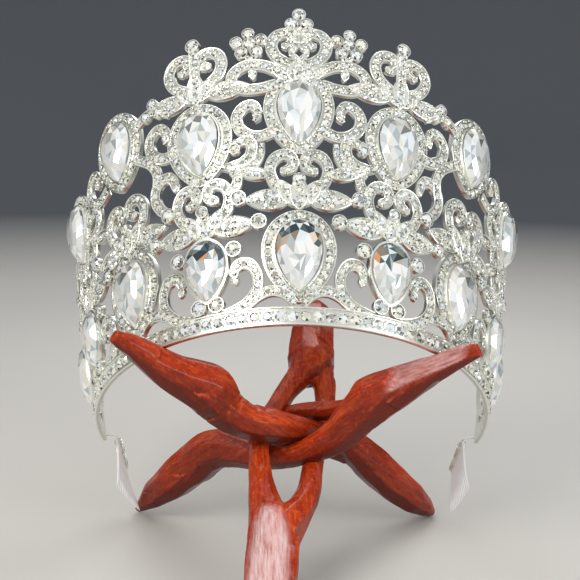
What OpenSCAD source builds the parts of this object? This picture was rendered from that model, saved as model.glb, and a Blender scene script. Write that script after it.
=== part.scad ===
// Pageant crown on a three-legged wooden stand.
// The crown is one flared casting that curves round the front of a head. It leans
// back over the stand: the front of its base band lies on the two front arms, and
// a comb hangs from each end of the band.
// Motifs are laid out flat and bent onto the wall. In that layout x runs round the
// wall and y runs up it: neighbouring columns are 40 units apart and the crown is
// 135 units tall, so that a unit is about a millimetre.

/* [Crown wall] */
// Radius of the inside of the base band
base_r = 80; // [76:0.5:86]
// Height of the front of the crown, measured up the wall
crown_h = 135; // [128:1:142]
// Outward lean of the wall, degrees
wall_lean = 13; // [10:0.5:16]
// Angle between neighbouring columns of stones, degrees
column_pitch = 23; // [22.5:0.1:23.5]
// Angle from the centre of the front to each end of the band, degrees
end_angle = 99; // [98:0.5:101]
// Height of the base band
band_h = 7; // [6:0.5:8]
// Thickness of the base band
band_t = 2.6; // [2:0.1:3]

/* [Scrolls and leaves] */
// Width of a scroll
scroll_w = 4.4; // [3.8:0.1:4.8]
// Thickness of a scroll
scroll_t = 1.7; // [1.4:0.1:2]
// Thickness of a leaf or a fan
leaf_t = 2.3; // [2:0.1:2.6]

/* [Stones] */
// Width of a large pear stone
pear_w = 17; // [15:0.5:19]
// Length of a large pear stone
pear_l = 28; // [26:0.5:30]
// Width of a small pear stone
small_pear_w = 16; // [14:0.5:17]
// Length of a small pear stone
small_pear_l = 24; // [22:0.5:25]
// Width of the rim that frames a large pear stone
halo_w = 28; // [26:0.5:30]
// Length of that rim
halo_l = 37; // [35:0.5:39]
// Thickness of that rim
halo_t = 2; // [1.7:0.1:2.2]
// Height of a stone above its girdle, as a share of its width
stone_rise = 0.2; // [0.15:0.01:0.25]
// Depth of a pear stone below its girdle
pavilion = 2.4; // [2:0.1:3]
// Gap between a stone and the metal that holds it
stone_gap = 0.12; // [0.1:0.01:0.2]
// Diameter of the largest round stones
round_d = 5.4; // [4.8:0.1:5.8]
// Width of the metal round a round stone
cup_wall = 0.45; // [0.3:0.05:0.6]
// Height of a round stone's cup above the inner face of the wall
cup_t = 2.8; // [2.6:0.1:3]
// Distance from a small pear stone's middle to the round stone at its shoulder
shoulder_reach = 11.1; // [11:0.05:11.3]

/* [Combs] */
// Length of a comb along its spine
comb_l = 28; // [22:1:32]
// Diameter of the spine
spine_d = 2.2; // [1.8:0.1:2.6]
// Length of the teeth
tooth_l = 22; // [18:1:23]
// Diameter of a tooth
tooth_d = 1.1; // [0.8:0.1:1.2]
// Spacing of the teeth
tooth_pitch = 2.2; // [2:0.1:2.6]
// Diameter of the wire that ties a comb to the band
wire_d = 0.8; // [0.6:0.1:1]
// Distance from the band in to the comb
comb_inset = 4; // [3:0.5:6]

/* [Stand] */
// Distance from the stand's centre line to the tip of each arm and each foot
leg_reach = 77; // [74:1:84]
// Distance that the back arm ends to the right of the middle
back_arm_aside = 11; // [8:0.5:12]
// Distance that the front foot stands to the left of the middle
front_foot_aside = 10; // [6:0.5:11]
// Height at which the three legs cross
hub_h = 53; // [50:1:56]
// Width of a leg at its widest
leg_w = 17; // [14:0.5:19]
// Depth of a leg at its deepest
leg_d = 13; // [11:0.5:14]
// Distance that each leg passes beside the centre line
hub_offset = 9.5; // [9.4:0.1:11]
// Gap between the band and the arms that carry it
rest_gap = 0.3; // [0.2:0.05:0.5]

/* [Crown on its stand] */
// Backward lean of the crown, degrees from upright
crown_tilt = 43.5; // [40:0.5:46]
// Height of the centre of the base circle above the table
crown_z = 47; // [46:0.5:52]
// Distance of that centre behind the stand's centre line
crown_y = 16.5; // [14:0.5:20]

/* [Hidden] */
COLUMN_UNITS = 40;
HEIGHT_UNITS = 135;

// Levels out from the inner face of the wall. No two kinds of piece share a front
// or a back, so that each one stands out where they cross.
scroll_back = 0.4;
leaf_back = 0.2;
halo_back = 0;
link_back = 0.6;
cup_back = 1;

// Wall

function wall_radius(s) = base_r + s * sin(wall_lean);
// Point at an angle round the crown, s up the wall and t out from its inner face
function wall_point(angle, s, t) =
    let (r = wall_radius(s) + t * cos(wall_lean))
    [r * sin(angle), -r * cos(angle), s * cos(wall_lean) - t * sin(wall_lean)];
function layout_angle(column, x) = (column + x / COLUMN_UNITS) * column_pitch;
function layout_height(y) = y * crown_h / HEIGHT_UNITS;
function layout_point(column, p, t) =
    wall_point(layout_angle(column, p.x), layout_height(p.y), t);

// Faces of a closed mesh, turned round for a mirrored motif
function turned(faces, mirrored) =
    mirrored ? [for (f = faces) [for (k = [len(f) - 1:-1:0]) f[k]]] : faces;

// A strip of even thickness along a flat path. side is -1 for a mirrored copy.
module strip(column, side, path, width, back, thick, first = 0.5, last = 0.5) {
    n = len(path);
    function along(i) = path[min(i + 1, n - 1)] - path[max(i - 1, 0)];
    function share(i) = i == 0 ? first : i == n - 1 ? last : 1;
    function across(i) = let (d = along(i)) [-d.y, d.x] / norm(d) * width / 2 * share(i);
    function at(p, t) = layout_point(column, [side * p.x, p.y], t);
    points = [for (i = [0:n - 1]) each [
        at(path[i] - across(i), back),
        at(path[i] + across(i), back),
        at(path[i] + across(i), back + thick),
        at(path[i] - across(i), back + thick)
    ]];
    sides = [for (i = [0:n - 2], k = [0:3]) let (m = (k + 1) % 4)
        [i * 4 + m, i * 4 + k, i * 4 + 4 + k, i * 4 + 4 + m]];
    ends = [[0, 1, 2, 3], [for (k = [3:-1:0]) (n - 1) * 4 + k]];
    polyhedron(points, turned(concat(sides, ends), side < 0));
}

// A plate from an outline, given anticlockwise, and a middle that sees all of it
module plate(column, side, outline, middle, back, thick) {
    n = len(outline);
    function at(p, t) = layout_point(column, [side * p.x, p.y], t);
    points = concat(
        [for (p = outline) at(p, back)],
        [for (p = outline) at(p, back + thick)],
        [at(middle, back), at(middle, back + thick)]
    );
    faces = [for (i = [0:n - 1]) let (m = (i + 1) % n) each [
        [2 * n, i, m],
        [2 * n + 1, n + m, n + i],
        [n + i, n + m, m, i]
    ]];
    polyhedron(points, turned(faces, side < 0));
}

// A pointed leaf between two tips
module leaf(column, side, from, to, width) {
    along = to - from;
    across = [-along.y, along.x] / norm(along) * width / 2;
    // Shares of the length and of the width at three places along the leaf
    bulge = [[0.2, 0.66], [0.5, 1], [0.82, 0.6]];
    outline = concat(
        [from],
        [for (b = bulge) from + along * b[0] - across * b[1]],
        [to],
        [for (k = [2:-1:0]) from + along * bulge[k][0] + across * bulge[k][1]]
    );
    plate(column, side, outline, from + along / 2, leaf_back, leaf_t);
}

// Pear outline

pear_sides = 10;
halo_sides = 12;
// How fast a stone and its rim narrow toward the point, and the factor that keeps
// their widest place at their full width
pear_form = [0.5, 1.16];
rim_form = [0.35, 1.105];
// A teardrop with its round end up, a full turn starting at the top
function pear_point(turn, w, l, form) = [
    -w / 2 * form[1] * sin(turn) * pow(abs(cos(turn / 2)), form[0]),
    l / 2 * cos(turn)
];

// The rim round a pear stone, bent with the wall and open behind the stone
module halo(column, y, w, l, hole_w, hole_l) {
    n = halo_sides;
    function at(p, t) =
        let (s = layout_height(y) + p.y)
        wall_point(layout_angle(column, 0) + p.x / wall_radius(s) * 180 / PI, s, t);
    function loop(w, l, form, t) = [for (i = [0:n - 1]) at(pear_point(i * 360 / n, w, l, form), t)];
    points = concat(
        loop(w, l, rim_form, halo_back), loop(w, l, rim_form, halo_back + halo_t),
        loop(hole_w, hole_l, pear_form, halo_back), loop(hole_w, hole_l, pear_form, halo_back + halo_t)
    );
    faces = [for (i = [0:n - 1]) let (m = (i + 1) % n) each [
        [n + i, n + m, m, i],
        [2 * n + i, 2 * n + m, 3 * n + m, 3 * n + i],
        [n + i, 3 * n + i, 3 * n + m, n + m],
        [m, 2 * n + m, 2 * n + i, i]
    ]];
    polyhedron(points, faces);
}

// Puts its children on the wall, facing out, with +Y up the wall
module on_wall(column, x, y, t) {
    angle = layout_angle(column, x);
    s = layout_height(y);
    rotate([0, 0, angle])
        translate([0, -wall_radius(s) - t * cos(wall_lean), s * cos(wall_lean) - t * sin(wall_lean)])
            rotate([90 + wall_lean, 0, 0])
                children();
}

// Puts its children at the crown's lean over the stand
module leaning() {
    translate([0, crown_y, crown_z])
        rotate([-crown_tilt, 0, 0])
            children();
}

// Round stones: column, x, y, diameter as a share of the largest, and true where a
// plate carries it and it needs no cup

middle_y = [61.5, 52, 59, 52, 58];
// Length of one layout unit along the wall at a height, for what must keep its distance
// in millimetres from a pear stone's middle
function unit_length(y) = wall_radius(layout_height(y)) * column_pitch / COLUMN_UNITS * PI / 180;
shoulder_y = 31;
gap_rounds = [[24.4, 51.6, 1], [16.4, 41.1, 1],
    [COLUMN_UNITS - shoulder_reach / unit_length(shoulder_y), shoulder_y, 1], [35.9, 10.1, 1]];
top_flower = [18.5, 119.6];
flower_reach = 4.8;
flower_petals = 5;
rounds = concat(
    // Stem stone of each middle heart
    [for (side = [-1, 1], k = [0:4]) if (k > 0 || side > 0) [side * k, 0, middle_y[k] - 3.4, 0.8, true]],
    // Stones between an even column and the odd one beside it
    [for (side = [-1, 1], even = [0, 2, 4], dir = [-1, 1], g = gap_rounds)
        if ((even > 0 || dir > 0) && (even < 4 || dir < 0)) [side * even, side * dir * g[0], g[1], g[2]]],
    // Curled ends of the upper scrolls
    [for (side = [-1, 1], g = [[0, 25.2, 72.6], [2, 25.2, 72.6]]) [side * g[0], side * g[1], g[2], 0.7]],
    // Flowers beside the crest
    [for (side = [-1, 1], k = [0:flower_petals])
        let (turn = 90 + k * 360 / flower_petals, reach = k < flower_petals ? flower_reach : 0)
        [0, side * (top_flower.x + reach * cos(turn)), top_flower.y + reach * sin(turn), 0.85, true]],
    // Clusters between the first and second columns
    [for (side = [-1, 1], p = [[21, 104], [17.4, 99.6], [23.6, 99]]) [side * 2, -side * p.x, p.y, 0.8]],
    // Finials
    [[0, 0, 132.4, 0.92], [0, -2.7, 127.8, 0.92], [0, 2.7, 127.8, 0.92], [-1, 0, 124.2, 1], [1, 0, 124.2, 1]]
);

// A scalloped plate under each flower
module flower_plate(side) {
    r = flower_reach + round_d * 0.85 / 2 + cup_wall;
    outline = [for (k = [0:flower_petals - 1], petal = [[-17, r], [17, r], [36, r * 0.66]])
        let (turn = 90 + k * 360 / flower_petals + petal[0])
        top_flower + petal[1] * [cos(turn), sin(turn)]];
    plate(0, side, outline, top_flower, cup_back, cup_t - cup_back);
}

module cups() {
    flower_plate(-1);
    flower_plate(1);
    for (g = rounds) if (!g[4]) {
        on_wall(g[0], g[1], g[2], cup_back)
            cylinder(h = cup_t - cup_back, d = round_d * g[3] + 2 * cup_wall, $fn = 6);
    }
}

module round_stone(d) {
    cylinder(h = d * stone_rise, d1 = d, d2 = d * 0.6, $fn = 8);
}

module round_stones() {
    color("white")
        leaning()
            for (g = rounds) {
                on_wall(g[0], g[1], g[2], cup_t + stone_gap)
                    round_stone(round_d * g[3]);
            }
}

// Hearts, fans and scrolls

heart_path = [[3, -8.6], [9.2, -5], [11.7, 1], [8.8, 6.8], [3.4, 5.9], [5.4, 0.6]];
// Right half of a fan with a leaf to its side, from the foot of the fan to its stem
fan_half = [[0, -5], [6, -4.4], [14, -3.9], [22.4, 0], [15, 3.9], [7, 3.6], [3, 6], [2.4, 10.8]];
fan_drop = 11.2;

// A fan with a leaf to each side
module fan(column, y) {
    n = len(fan_half);
    outline = concat(fan_half, [for (k = [n - 1:-1:1]) [-fan_half[k].x, fan_half[k].y]]);
    plate(column, 1, [for (p = outline) p + [0, y]], [0, y], leaf_back, leaf_t);
}

// A heart of two scrolls
module heart(column, y, size = 1) {
    for (side = [-1, 1]) {
        strip(column, side, [for (p = heart_path) p * size + [0, y]], scroll_w, scroll_back, scroll_t, 0.9, 0.5);
    }
}

// Scrolls in the gap from an even column toward an odd one, at 40
lower_scroll = [[27.6, 20], [25.6, 24.4], [20.2, 23.8], [17.4, 17.2], [21.4, 10.4], [33.4, 6.4]];
arch = [[1.6, 8], [11, 13.4], [22.4, 8.4]];
upper_scroll = [[9.4, 79.6], [15.6, 77.6], [22.4, 81], [23.4, 89], [18, 92], [15.4, 87.6]];
lower_hook = [[32, 67], [22.6, 67], [18.6, 70.6], [19.4, 75.8], [24.6, 75.6]];
branch = [[14.4, 75.4], [15.6, 69.4], [19.4, 64.6], [27.6, 63.4]];
stem = [[27, 66], [24.6, 60], [28, 54]];
side_hook = [[27.8, 50.6], [20, 56], [18.8, 64], [25.4, 68.4], [28.6, 62]];

// The gap at the foot of every pair of columns
module lower_gap(column, side) {
    strip(column, side, lower_scroll, scroll_w, scroll_back, scroll_t, 0.6, 1);
    strip(column, side, arch, scroll_w * 0.9, scroll_back, scroll_t, 0.9, 0.9);
}

// The gap between tall columns whose upper rim is on the even side
module upper_gap_even(column, side) {
    strip(column, side, upper_scroll, scroll_w, scroll_back, scroll_t, 1, 0.5);
    strip(column, side, lower_hook, scroll_w, scroll_back, scroll_t, 1, 0.6);
    strip(column, side, stem, scroll_w * 0.9, scroll_back, scroll_t, 1, 1);
    leaf(column, side, [11.4, 60.4], [26, 63.4], 5.4);
}

// The branch beside the middle column
module inner_branch(column, side) {
    strip(column, side, branch, scroll_w * 0.85, link_back, scroll_t, 0.5, 1);
}

// The gap between tall columns whose upper rim is on the odd side
module upper_gap_odd(column, side) {
    strip(column, side, [for (p = upper_scroll) [COLUMN_UNITS - p.x + 1.4, p.y]],
        scroll_w, scroll_back, scroll_t, 1, 0.5);
    strip(column, side, side_hook, scroll_w, scroll_back, scroll_t, 1, 0.6);
    strip(column, side, [[19, 64], [19.4, 74], [8.4, 85]], scroll_w * 0.9, link_back, scroll_t, 1, 1);
    strip(column, side, [[10, 98], [20.6, 101.4], [28.4, 97]], scroll_w * 0.9, link_back, scroll_t, 1, 1);
}

shoulder = [[8.4, 100.6], [15.6, 99.2], [24.2, 101.8], [23.4, 108.8], [15, 109.8], [6, 105]];
crest_plate = [[0, 101], [8, 100.6], [9.6, 106], [3, 113.6], [-3, 113.6], [-9.6, 106], [-8, 100.6]];

// The crest over the middle column
module crest() {
    heart(0, 117.6, 0.86);
    for (side = [-1, 1]) {
        strip(0, side, shoulder, scroll_w, scroll_back, scroll_t, 1, 1);
        strip(0, side, [[17.6, 108.6], [18, 114.6]], scroll_w * 0.8, link_back, scroll_t, 1, 1);
    }
    plate(0, 1, crest_plate, [0, 106], leaf_back, leaf_t);
    strip(0, 1, [[0, 112], [0, 128.6]], scroll_w, link_back, scroll_t, 1, 1);
}

// The crest over each column beside the middle one
module side_crest(column) {
    heart(column, 112.6, 0.92);
    fan(column, 100.6);
    strip(column, 1, [[0, 106], [0, 122.6]], scroll_w, link_back, scroll_t, 1, 1);
}

upper_pear_y = [87.4, 78.2, 92, 76.2];
large_low_y = 27;
small_low_y = 24.2;
// Column, height and whether the stone is a small one
pears = concat(
    [for (k = [0:3], side = [-1, 1]) if (k > 0 || side > 0) [side * k, upper_pear_y[k], false]],
    [for (k = [0:4], side = [-1, 1]) if (k > 0 || side > 0)
        [side * k, k % 2 == 0 ? large_low_y : small_low_y, k % 2 == 1]]
);
hole_share = 0.86;
rim_share = 1.14;

// The band, closed in short straight steps
module band() {
    steps = 31;
    function ring(i, s, t) = wall_point(-end_angle + i * 2 * end_angle / steps, s, t);
    points = [for (i = [0:steps]) each [ring(i, 0, 0), ring(i, band_h, 0), ring(i, band_h, band_t), ring(i, 0, band_t)]];
    sides = [for (i = [0:steps - 1], k = [0:3]) let (m = (k + 1) % 4)
        [i * 4 + m, i * 4 + k, i * 4 + 4 + k, i * 4 + 4 + m]];
    ends = [[0, 1, 2, 3], [for (k = [3:-1:0]) steps * 4 + k]];
    polyhedron(points, concat(sides, ends));
}

// The post that closes each end of the wall
module end_post(side) {
    strip(side * 4, side, [[8.8, 4], [10.4, 18], [9.6, 36]], scroll_w, link_back, scroll_t, 1, 0.8);
}

module crown_metal() {
    band();
    cups();
    for (p = pears) {
        w = p[2] ? small_pear_w : pear_w;
        l = p[2] ? small_pear_l : pear_l;
        halo(p[0], p[1], p[2] ? w * rim_share : halo_w, p[2] ? l * rim_share : halo_l, w * hole_share, l * hole_share);
    }
    for (side = [-1, 1], k = [0:4]) {
        if (k > 0 || side > 0) {
            heart(side * k, middle_y[k]);
            fan(side * k, middle_y[k] - fan_drop);
        }
    }
    for (side = [-1, 1]) {
        for (gap = [[0, 1], [2, -1], [2, 1], [4, -1]]) {
            lower_gap(side * gap[0], side * gap[1]);
        }
        upper_gap_even(0, side);
        inner_branch(0, side);
        upper_gap_even(side * 2, side);
        upper_gap_odd(side * 2, -side);
        strip(side * 4, -side, side_hook, scroll_w, scroll_back, scroll_t, 1, 0.6);
        side_crest(side);
        end_post(side);
    }
    crest();
    // Short solder bars that tie each lower rim and fan to the band
    for (column = [-4:4]) {
        hull() {
            for (y = [4, column % 2 == 0 ? 11 : 11.8]) {
                on_wall(column, 0, y, link_back)
                    cylinder(h = scroll_t, d = scroll_w * 0.7, $fn = 4);
            }
        }
    }
}

module crown_frame() {
    color("silver")
        leaning()
            crown_metal();
}

// Pear stone with a table, a ring of crown facets, a girdle and a pointed back
module pear_stone(w, l) {
    n = pear_sides;
    girdle = 0.7;
    // Each ring: share of the outline, height
    rings = [[0.35, -pavilion], [1, 0], [1, girdle], [0.58, girdle + w * stone_rise]];
    points = [for (g = rings, i = [0:n - 1])
        let (p = pear_point(i * 360 / n, w * g[0], l * g[0], pear_form)) [p.x, p.y, g[1]]];
    faces = concat(
        [[for (i = [0:n - 1]) i], [for (i = [n - 1:-1:0]) 3 * n + i]],
        [for (k = [0:2], i = [0:n - 1]) let (m = (i + 1) % n)
            [(k + 1) * n + i, (k + 1) * n + m, k * n + m, k * n + i]]
    );
    polyhedron(points, faces);
}

// Lift of the girdle that keeps the pointed back clear of the rim's hole
seat_lift = pavilion * (1 - hole_share) / (1 - 0.35) + stone_gap + 0.1;

module pear_at(index) {
    p = pears[index];
    color("ghostwhite")
        leaning()
            on_wall(p[0], 0, p[1], halo_back + halo_t + seat_lift)
                pear_stone(p[2] ? small_pear_w : pear_w, p[2] ? small_pear_l : pear_l);
}

// Combs: side is -1 for the left one
teeth = floor((comb_l - tooth_d) / tooth_pitch);
// The tie wire passes round the end of the band, low on it
wire_z = band_h * 0.3;
wire_set = band_t * 0.1 + wire_d;
module comb(side) {
    end = wall_point(end_angle, 0, 0);
    spine_x = end.x - comb_inset;
    color("gainsboro")
        leaning() {
            translate([side * spine_x, end.y, 0])
                rotate([-90, 0, 0])
                    cylinder(h = comb_l, d = spine_d, $fn = 24);
            for (k = [0:teeth]) {
                translate([side * spine_x, end.y + tooth_d + k * tooth_pitch, -tooth_l])
                    cylinder(h = tooth_l, d = tooth_d, $fn = 16);
            }
            translate([side * spine_x, end.y + wire_set, wire_z])
                rotate([0, side * 90, 0])
                    cylinder(h = comb_inset + band_t, d = wire_d, $fn = 16);
            translate([side * spine_x, end.y + wire_set, 0])
                cylinder(h = wire_z + wire_d / 2, d = wire_d, $fn = 16);
        }
}

// Stand

// Rows along a leg, from the tip of its arm to the tip of its foot: share of the
// reach, share of the width, share of the depth
leg_rows = [
    [1, 0.5, 0.5], [0.93, 0.8, 0.74], [0.74, 0.95, 0.9], [0.5, 1, 1], [0.3, 0.86, 0.94], [0.12, 0.66, 0.86],
    [-0.12, 0.66, 0.86], [-0.3, 0.86, 0.94], [-0.52, 1, 1], [-0.76, 1, 0.96], [-0.93, 0.9, 0.89], [-1, 0.6, 0.5]
];
corner = 0.42;
// Where the back arm's bend starts and how long it is, as shares of the reach
bend_start = 0.1;
bend_length = 0.5;

// Where an arm 30 degrees in front of the side crosses under the band's outer edge.
// Both arms pass the centre line on the same hand, so one crosses farther forward.
band_out_r = base_r + band_t * cos(wall_lean);
arm_slant = tan(60);
cross_y = arm_slant * band_out_r * cos(crown_tilt);
function cross_angle(aside) =
    atan2(cross_y, band_out_r)
    + asin((aside / cos(60) - arm_slant * crown_y) / norm([band_out_r, cross_y]));
function cross_reach(aside) = (band_out_r * sin(cross_angle(aside)) - aside * cos(60)) / sin(60);
function cross_z(aside) =
    crown_z + band_out_r * cos(cross_angle(aside)) * sin(crown_tilt) - band_t * sin(wall_lean) * cos(crown_tilt);
cross_offset = hub_offset * (1 - pow(cross_reach(0) / leg_reach, 2));
// The arm's middle passes this far under that edge, which slopes across the arm and
// rises by this share of the arm's width
edge_slope = 0.17;
edge_slope_change = 0.05;
function arm_drop(hand) = leg_d / 2 + leg_w * (edge_slope - hand * edge_slope_change) + rest_gap;
function arm_rise(hand) =
    (cross_z(hand * cross_offset) - arm_drop(hand) - hub_h) / cross_reach(hand * cross_offset);
foot_tip_z = leg_d * 0.16;

// hand is 1 where the arm crosses the band farther back, -1 where farther forward
module leg(turn, hand) {
    function middle(row) =
        row[0] > 0
            ? [row[0] * leg_reach, hub_h + row[0] * leg_reach * arm_rise(hand)]
            : [row[0] * leg_reach, hub_h + row[0] * (hub_h - foot_tip_z)];
    // The leg with the back arm bends across the middle behind the hub, and its foot
    // stands aside. The other two end on the line through the middle.
    function tip_aside(row) = hand != 0 ? 0 : row[0] > 0 ? -back_arm_aside : front_foot_aside;
    function bend(row) =
        hand != 0 || row[0] < 0
            ? row[0] * row[0]
            : let (s = min(1, max(0, (row[0] - bend_start) / bend_length))) s * s * (3 - 2 * s);
    function offset_at(row) = hub_offset * (1 - bend(row)) + tip_aside(row) * bend(row);
    section = [[1, -1 + corner], [1, 1 - corner], [1 - corner, 1], [corner - 1, 1],
        [-1, 1 - corner], [-1, corner - 1], [corner - 1, -1], [1 - corner, -1]];
    n = len(section);
    points = [for (row = leg_rows, c = section) let (m = middle(row)) [
        m[0],
        offset_at(row) + c[0] * row[1] * leg_w / 2,
        max(0, m[1] + c[1] * row[2] * leg_d / 2)
    ]];
    last = len(leg_rows) - 1;
    faces = concat(
        [for (i = [0:last - 1], k = [0:n - 1]) let (m = (k + 1) % n)
            [i * n + k, i * n + m, (i + 1) * n + m, (i + 1) * n + k]],
        [[for (k = [n - 1:-1:0]) k], [for (k = [0:n - 1]) last * n + k]]
    );
    color("firebrick")
        rotate([0, 0, turn])
            polyhedron(points, faces);
}

module stand_leg_front() { leg(90, 0); }
module stand_leg_right() { leg(210, -1); }
module stand_leg_left() { leg(-30, 1); }
module comb_left() { comb(-1); }
module comb_right() { comb(1); }

crown_frame();
round_stones();
for (k = [0:15]) {
    pear_at(k);
}
comb_left();
comb_right();
stand_leg_front();
stand_leg_left();
stand_leg_right();
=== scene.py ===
import math
import random

import bmesh
import bpy
import numpy as np
from mathutils import Matrix, Vector
from mathutils.geometry import interpolate_bezier


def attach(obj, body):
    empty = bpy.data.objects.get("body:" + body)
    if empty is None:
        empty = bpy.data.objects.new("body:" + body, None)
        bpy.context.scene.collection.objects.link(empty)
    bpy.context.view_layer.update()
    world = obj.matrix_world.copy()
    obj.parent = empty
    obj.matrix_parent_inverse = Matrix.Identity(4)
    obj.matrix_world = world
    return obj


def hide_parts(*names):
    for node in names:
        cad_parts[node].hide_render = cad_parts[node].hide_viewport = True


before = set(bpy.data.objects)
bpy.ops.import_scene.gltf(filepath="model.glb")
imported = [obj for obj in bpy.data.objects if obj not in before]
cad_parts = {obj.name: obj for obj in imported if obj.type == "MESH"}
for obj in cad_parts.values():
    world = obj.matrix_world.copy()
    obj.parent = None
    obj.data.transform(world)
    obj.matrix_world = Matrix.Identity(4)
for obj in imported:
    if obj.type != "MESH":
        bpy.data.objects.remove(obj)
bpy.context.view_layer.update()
bpy.ops.object.select_all(action="DESELECT")
MM = 0.001
BODY = "root"


# Camera and lights
# The crown is seen from just under its band's height, a little left of its middle.
VIEW_TURN = math.radians(1.6)
VIEW_DOWN = math.radians(9)
VIEW_ROLL = math.radians(1)
VIEW_REACH = 409.3
VIEW_HEIGHT = 171
VIEW_ASIDE = 1.5
AIM_BACK = 16.5
LENS = 62.07
SENSOR_W = 36
VIEW_SHIFT = -3.8 / 580


def add_object(name, data):
    thing = bpy.data.objects.new(name, data)
    bpy.context.scene.collection.objects.link(thing)
    return thing


bpy.context.scene.view_settings.view_transform = "Standard"
camera = add_object("camera", bpy.data.cameras.new("camera"))
camera.data.lens = LENS
camera.data.sensor_width = SENSOR_W
camera.data.shift_x = VIEW_SHIFT
camera.location = (
    -MM * (VIEW_REACH * math.sin(VIEW_TURN) + VIEW_ASIDE * math.cos(VIEW_TURN)),
    MM * (AIM_BACK - VIEW_REACH * math.cos(VIEW_TURN)),
    MM * VIEW_HEIGHT,
)
camera.rotation_euler = (math.pi / 2 - VIEW_DOWN, -VIEW_ROLL, -VIEW_TURN)
bpy.context.scene.camera = camera


def add_lamp(name, place, aim, size, power, colour):
    """A square studio lamp that faces its aim, both in millimetres."""
    bpy.ops.object.light_add(type="AREA", location=[MM * v for v in place])
    lamp = bpy.context.object
    lamp.name = name
    lamp.data.energy = power
    lamp.data.size = MM * size
    lamp.data.color = colour
    toward = Vector(aim) - Vector(place)
    lamp.rotation_euler = toward.to_track_quat("-Z", "Y").to_euler()


add_lamp("key_lamp", (-420, -520, 620), (0, 0, 110), 380, 3, (1, 0.98, 0.94))
add_lamp("fill_lamp", (560, -420, 360), (0, 0, 110), 300, 1.5, (0.94, 0.97, 1))
add_lamp("rim_lamp", (120, 520, 560), (0, 20, 120), 400, 1.2, (1, 1, 1))
world = bpy.data.worlds.new("studio")
bpy.context.scene.world = world
world.use_nodes = True
world.node_tree.nodes["Background"].inputs["Color"].default_value = (0.97, 0.98, 1, 1)
world.node_tree.nodes["Background"].inputs["Strength"].default_value = 0.7


# Studio floor
# A round pale floor that turns up into a plain wall far off on every side. The wall is
# grey behind the crown, so that its openings read, and pale behind the camera.
FLOOR_R = 0.62
COVE_R = 0.33
WALL_TOP = 0.62
FLOOR_SIDES = 96
COVE_STEPS = 12
profile = [(FLOOR_R, 0)]
for k in range(1, COVE_STEPS + 1):
    turn = k * math.pi / 2 / COVE_STEPS
    profile.append((FLOOR_R + COVE_R * math.sin(turn), COVE_R * (1 - math.cos(turn))))
profile.append((FLOOR_R + COVE_R, WALL_TOP))
floor_points = [(0, 0, 0)]
floor_faces = []
for row, (radius, z) in enumerate(profile):
    for k in range(FLOOR_SIDES):
        turn = k * 2 * math.pi / FLOOR_SIDES
        here = 1 + row * FLOOR_SIDES + k
        beside = 1 + row * FLOOR_SIDES + (k + 1) % FLOOR_SIDES
        floor_points.append((radius * math.cos(turn), radius * math.sin(turn), z))
        if row:
            floor_faces.append((here - FLOOR_SIDES, here, beside, beside - FLOOR_SIDES))
        else:
            floor_faces.append((0, here, beside))
floor_mesh = bpy.data.meshes.new("floor")
floor_mesh.from_pydata(floor_points, [], floor_faces)
floor_mesh.shade_smooth()
floor = add_object("floor", floor_mesh)


class Socket:
    """A shader socket that adds Math nodes when it is used in an expression."""

    def __init__(self, tree, output):
        self.tree = tree
        self.output = output

    def math(self, operation, *values):
        inputs = dict(enumerate((self,) + values))
        return add_node(self.tree, "ShaderNodeMath", {"operation": operation}, inputs)

    def __add__(self, other):
        return self.math("ADD", other)

    def __mul__(self, other):
        return self.math("MULTIPLY", other)

    def __sub__(self, other):
        return self.math("SUBTRACT", other)

    def __rsub__(self, other):
        return add_node(self.tree, "ShaderNodeMath", {"operation": "SUBTRACT"}, {0: other, 1: self})

    __radd__ = __add__
    __rmul__ = __mul__

    def clamped(self, times, plus=0):
        """Itself times a number, plus another, held between 0 and 1."""
        return add_node(self.tree, "ShaderNodeMath", {"operation": "MULTIPLY_ADD", "use_clamp": True},
                        {0: self, 1: times, 2: plus})


def fill(node, values):
    """Fills a node's inputs, each with a link or with a value of its own."""
    for name, value in values.items():
        if isinstance(value, Socket):
            value.tree.links.new(value.output, node.inputs[name])
        else:
            node.inputs[name].default_value = value


def add_node(tree, kind, settings=None, values=None, output=0):
    """Adds a node, sets it up, fills its inputs and returns one of its outputs."""
    node = tree.nodes.new(kind)
    for name, value in (settings or {}).items():
        if name == "stops":
            ramp = node.color_ramp
            for index, (place, colour) in enumerate(value):
                stop = ramp.elements[index] if index < 2 else ramp.elements.new(place)
                stop.position = place
                stop.color = (*colour, 1)
        else:
            setattr(node, name, value)
    fill(node, values or {})
    return Socket(tree, node.outputs[output])


def new_material(name):
    material = bpy.data.materials.new(name)
    material.use_nodes = True
    tree = material.node_tree
    return material, tree, tree.nodes["Principled BSDF"]


def object_place(tree):
    return add_node(tree, "ShaderNodeTexCoord", output=3)


def along_axis(place, axis):
    return add_node(place.tree, "ShaderNodeSeparateXYZ", values={0: place}, output=axis)


def mix_colours(share, first, second):
    """From a first colour to a second one, by a share from 0 to 1."""
    return add_node(share.tree, "ShaderNodeMix", {"data_type": "RGBA"},
                    {0: share, 6: first, 7: second}, 2)


FLOOR_PALE = (0.66, 0.64, 0.6, 1)
WALL_GREY = (0.085, 0.095, 0.11, 1)
floor_paint, tree, shader = new_material("pale_floor")
place = object_place(tree)
behind = along_axis(place, 2).clamped(14) * along_axis(place, 1).clamped(2, 0.3)
fill(shader, {"Base Color": mix_colours(behind, FLOOR_PALE, WALL_GREY), "Roughness": 0.7})
floor.data.materials.append(floor_paint)


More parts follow.
